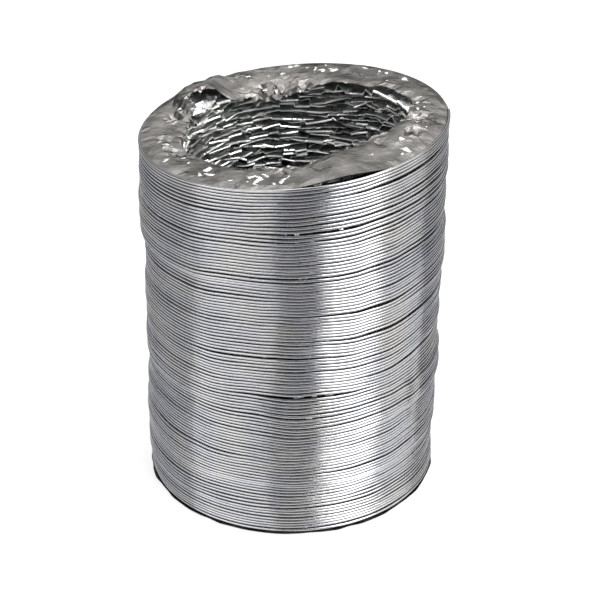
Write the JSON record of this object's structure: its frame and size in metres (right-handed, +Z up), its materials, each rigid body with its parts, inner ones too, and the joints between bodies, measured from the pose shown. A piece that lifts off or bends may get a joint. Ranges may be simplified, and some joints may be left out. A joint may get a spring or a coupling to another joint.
{
  "type": "flexible air duct",
  "caption": "Round flexible foil air duct on a spring wire helix, pushed together to its packed length, that pulls out long and bends.",
  "frame": {"origin": "middle of the lower end, on the surface the duct stands on", "axes": "+Z up along the duct's airflow axis, +X to the right and -Y towards the viewer; a bent duct leans towards -X"},
  "size_m": [0.104, 0.1042, 0.1333],
  "materials": {
    "jacketed_wire": "spring wire wrapped in bright aluminium foil",
    "foil_wall": "thin crinkled aluminium foil laminate, bright and creased"
  },
  "bodies": {
    "section_01": {"wire_coil_01": "jacketed_wire", "foil_pleats_01": "foil_wall", "bottom_end_leaf": "foil_wall"},
    "fold_01": {"joining_fold_01": "foil_wall"},
    "section_02": {"wire_coil_02": "jacketed_wire", "foil_pleats_02": "foil_wall"},
    "fold_02": {"joining_fold_02": "foil_wall"},
    "section_03": {"wire_coil_03": "jacketed_wire", "foil_pleats_03": "foil_wall"},
    "fold_03": {"joining_fold_03": "foil_wall"},
    "section_04": {"wire_coil_04": "jacketed_wire", "foil_pleats_04": "foil_wall"},
    "fold_04": {"joining_fold_04": "foil_wall"},
    "section_05": {"wire_coil_05": "jacketed_wire", "foil_pleats_05": "foil_wall"},
    "fold_05": {"joining_fold_05": "foil_wall"},
    "section_06": {"wire_coil_06": "jacketed_wire", "foil_pleats_06": "foil_wall"},
    "fold_06": {"joining_fold_06": "foil_wall"},
    "section_07": {"wire_coil_07": "jacketed_wire", "foil_pleats_07": "foil_wall"},
    "fold_07": {"joining_fold_07": "foil_wall"},
    "section_08": {"wire_coil_08": "jacketed_wire", "foil_pleats_08": "foil_wall"},
    "fold_08": {"joining_fold_08": "foil_wall"},
    "section_09": {"wire_coil_09": "jacketed_wire", "foil_pleats_09": "foil_wall"},
    "fold_09": {"joining_fold_09": "foil_wall"},
    "section_10": {"wire_coil_10": "jacketed_wire", "foil_pleats_10": "foil_wall"},
    "fold_10": {"joining_fold_10": "foil_wall"},
    "section_11": {"wire_coil_11": "jacketed_wire", "foil_pleats_11": "foil_wall"},
    "fold_11": {"joining_fold_11": "foil_wall"},
    "section_12": {"wire_coil_12": "jacketed_wire", "foil_pleats_12": "foil_wall", "top_end_leaf": "foil_wall"}
  },
  "joints": [
    {"name": "extend_01", "type": "slide", "parent": "section_01", "child": "fold_01", "axis": [0, 0, 1], "range_m": [0, 0.2606]},
    {"name": "bend_01", "type": "hinge", "parent": "fold_01", "child": "section_02", "pos_m": [-0.05205, 0, 0.01173], "axis": [0, -1, 0], "range_deg": [0, 8.18]},
    {"name": "extend_02", "type": "slide", "parent": "section_02", "child": "fold_02", "axis": [0, 0, 1], "range_m": [0, 0.2606]},
    {"name": "bend_02", "type": "hinge", "parent": "fold_02", "child": "section_03", "pos_m": [-0.05205, 0, 0.02271], "axis": [0, -1, 0], "range_deg": [0, 8.18]},
    {"name": "extend_03", "type": "slide", "parent": "section_03", "child": "fold_03", "axis": [0, 0, 1], "range_m": [0, 0.2606]},
    {"name": "bend_03", "type": "hinge", "parent": "fold_03", "child": "section_04", "pos_m": [-0.05205, 0, 0.03369], "axis": [0, -1, 0], "range_deg": [0, 8.18]},
    {"name": "extend_04", "type": "slide", "parent": "section_04", "child": "fold_04", "axis": [0, 0, 1], "range_m": [0, 0.2606]},
    {"name": "bend_04", "type": "hinge", "parent": "fold_04", "child": "section_05", "pos_m": [-0.05205, 0, 0.04467], "axis": [0, -1, 0], "range_deg": [0, 8.18]},
    {"name": "extend_05", "type": "slide", "parent": "section_05", "child": "fold_05", "axis": [0, 0, 1], "range_m": [0, 0.2606]},
    {"name": "bend_05", "type": "hinge", "parent": "fold_05", "child": "section_06", "pos_m": [-0.05205, 0, 0.05565], "axis": [0, -1, 0], "range_deg": [0, 8.18]},
    {"name": "extend_06", "type": "slide", "parent": "section_06", "child": "fold_06", "axis": [0, 0, 1], "range_m": [0, 0.2606]},
    {"name": "bend_06", "type": "hinge", "parent": "fold_06", "child": "section_07", "pos_m": [-0.05205, 0, 0.06663], "axis": [0, -1, 0], "range_deg": [0, 8.18]},
    {"name": "extend_07", "type": "slide", "parent": "section_07", "child": "fold_07", "axis": [0, 0, 1], "range_m": [0, 0.2606]},
    {"name": "bend_07", "type": "hinge", "parent": "fold_07", "child": "section_08", "pos_m": [-0.05205, 0, 0.07761], "axis": [0, -1, 0], "range_deg": [0, 8.18]},
    {"name": "extend_08", "type": "slide", "parent": "section_08", "child": "fold_08", "axis": [0, 0, 1], "range_m": [0, 0.2606]},
    {"name": "bend_08", "type": "hinge", "parent": "fold_08", "child": "section_09", "pos_m": [-0.05205, 0, 0.08859], "axis": [0, -1, 0], "range_deg": [0, 8.18]},
    {"name": "extend_09", "type": "slide", "parent": "section_09", "child": "fold_09", "axis": [0, 0, 1], "range_m": [0, 0.2606]},
    {"name": "bend_09", "type": "hinge", "parent": "fold_09", "child": "section_10", "pos_m": [-0.05205, 0, 0.09957], "axis": [0, -1, 0], "range_deg": [0, 8.18]},
    {"name": "extend_10", "type": "slide", "parent": "section_10", "child": "fold_10", "axis": [0, 0, 1], "range_m": [0, 0.2606]},
    {"name": "bend_10", "type": "hinge", "parent": "fold_10", "child": "section_11", "pos_m": [-0.05205, 0, 0.11055], "axis": [0, -1, 0], "range_deg": [0, 8.18]},
    {"name": "extend_11", "type": "slide", "parent": "section_11", "child": "fold_11", "axis": [0, 0, 1], "range_m": [0, 0.2606]},
    {"name": "bend_11", "type": "hinge", "parent": "fold_11", "child": "section_12", "pos_m": [-0.05205, 0, 0.12153], "axis": [0, -1, 0], "range_deg": [0, 8.18]}
  ],
  "couplings": [
    {"joint": "extend_02", "follows": "extend_01", "ratio": 1},
    {"joint": "bend_02", "follows": "bend_01", "ratio": 1},
    {"joint": "extend_03", "follows": "extend_01", "ratio": 1},
    {"joint": "bend_03", "follows": "bend_01", "ratio": 1},
    {"joint": "extend_04", "follows": "extend_01", "ratio": 1},
    {"joint": "bend_04", "follows": "bend_01", "ratio": 1},
    {"joint": "extend_05", "follows": "extend_01", "ratio": 1},
    {"joint": "bend_05", "follows": "bend_01", "ratio": 1},
    {"joint": "extend_06", "follows": "extend_01", "ratio": 1},
    {"joint": "bend_06", "follows": "bend_01", "ratio": 1},
    {"joint": "extend_07", "follows": "extend_01", "ratio": 1},
    {"joint": "bend_07", "follows": "bend_01", "ratio": 1},
    {"joint": "extend_08", "follows": "extend_01", "ratio": 1},
    {"joint": "bend_08", "follows": "bend_01", "ratio": 1},
    {"joint": "extend_09", "follows": "extend_01", "ratio": 1},
    {"joint": "bend_09", "follows": "bend_01", "ratio": 1},
    {"joint": "extend_10", "follows": "extend_01", "ratio": 1},
    {"joint": "bend_10", "follows": "bend_01", "ratio": 1},
    {"joint": "extend_11", "follows": "extend_01", "ratio": 1},
    {"joint": "bend_11", "follows": "bend_01", "ratio": 1}
  ]
}
